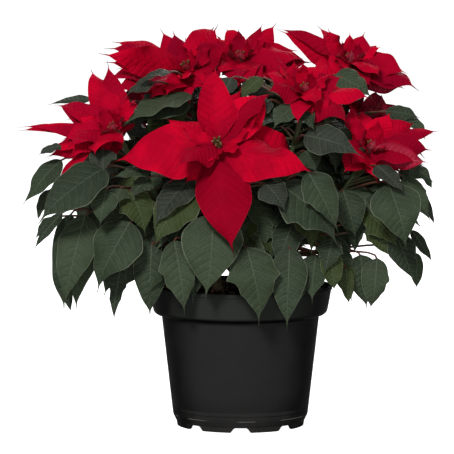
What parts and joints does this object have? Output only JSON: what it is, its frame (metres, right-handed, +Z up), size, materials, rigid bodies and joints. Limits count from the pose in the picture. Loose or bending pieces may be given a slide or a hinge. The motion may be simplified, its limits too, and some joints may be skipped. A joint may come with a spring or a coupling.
{
  "type": "potted poinsettia",
  "caption": "Red poinsettia in full bloom in a plain black nursery pot: domed crown of pointed bracts over dark green lobed leaves.",
  "frame": {"origin": "middle of the pot's base, on the surface that it stands on; the pot's axis is the Z axis", "axes": "+Z up, -Y to the front, where the plant is fullest, +X to the right as seen from the front"},
  "size_m": [0.4362, 0.3504, 0.4152],
  "materials": {
    "pot": "satin black moulded plastic",
    "peat": "crumbly dark brown peat",
    "bark": "rough grey-brown bark",
    "foliage": "dark grey-green leaf, faintly glossy, with pale veins",
    "bracts": "velvety saturated red",
    "cyathia": "waxy greenish yellow"
  },
  "bodies": {
    "root": {"pot": "pot", "soil": "peat", "trunk_1": "bark", "trunk_2": "bark", "trunk_3": "bark", "leafy_stem_1": "foliage", "bracts_1": "bracts", "cyathia_1": "cyathia", "leafy_stem_2": "foliage", "bracts_2": "bracts", "cyathia_2": "cyathia", "leafy_stem_3": "foliage", "bracts_3": "bracts", "cyathia_3": "cyathia", "leafy_stem_4": "foliage", "bracts_4": "bracts", "cyathia_4": "cyathia", "leafy_stem_5": "foliage", "bracts_5": "bracts", "cyathia_5": "cyathia", "leafy_stem_6": "foliage", "bracts_6": "bracts", "cyathia_6": "cyathia", "leafy_stem_7": "foliage", "bracts_7": "bracts", "cyathia_7": "cyathia", "leafy_stem_8": "foliage", "bracts_8": "bracts", "cyathia_8": "cyathia", "leafy_stem_9": "foliage", "bracts_9": "bracts", "cyathia_9": "cyathia", "leafy_stem_10": "foliage", "bracts_10": "bracts", "cyathia_10": "cyathia", "leafy_stem_11": "foliage", "bracts_11": "bracts", "cyathia_11": "cyathia"}
  },
  "joints": []
}
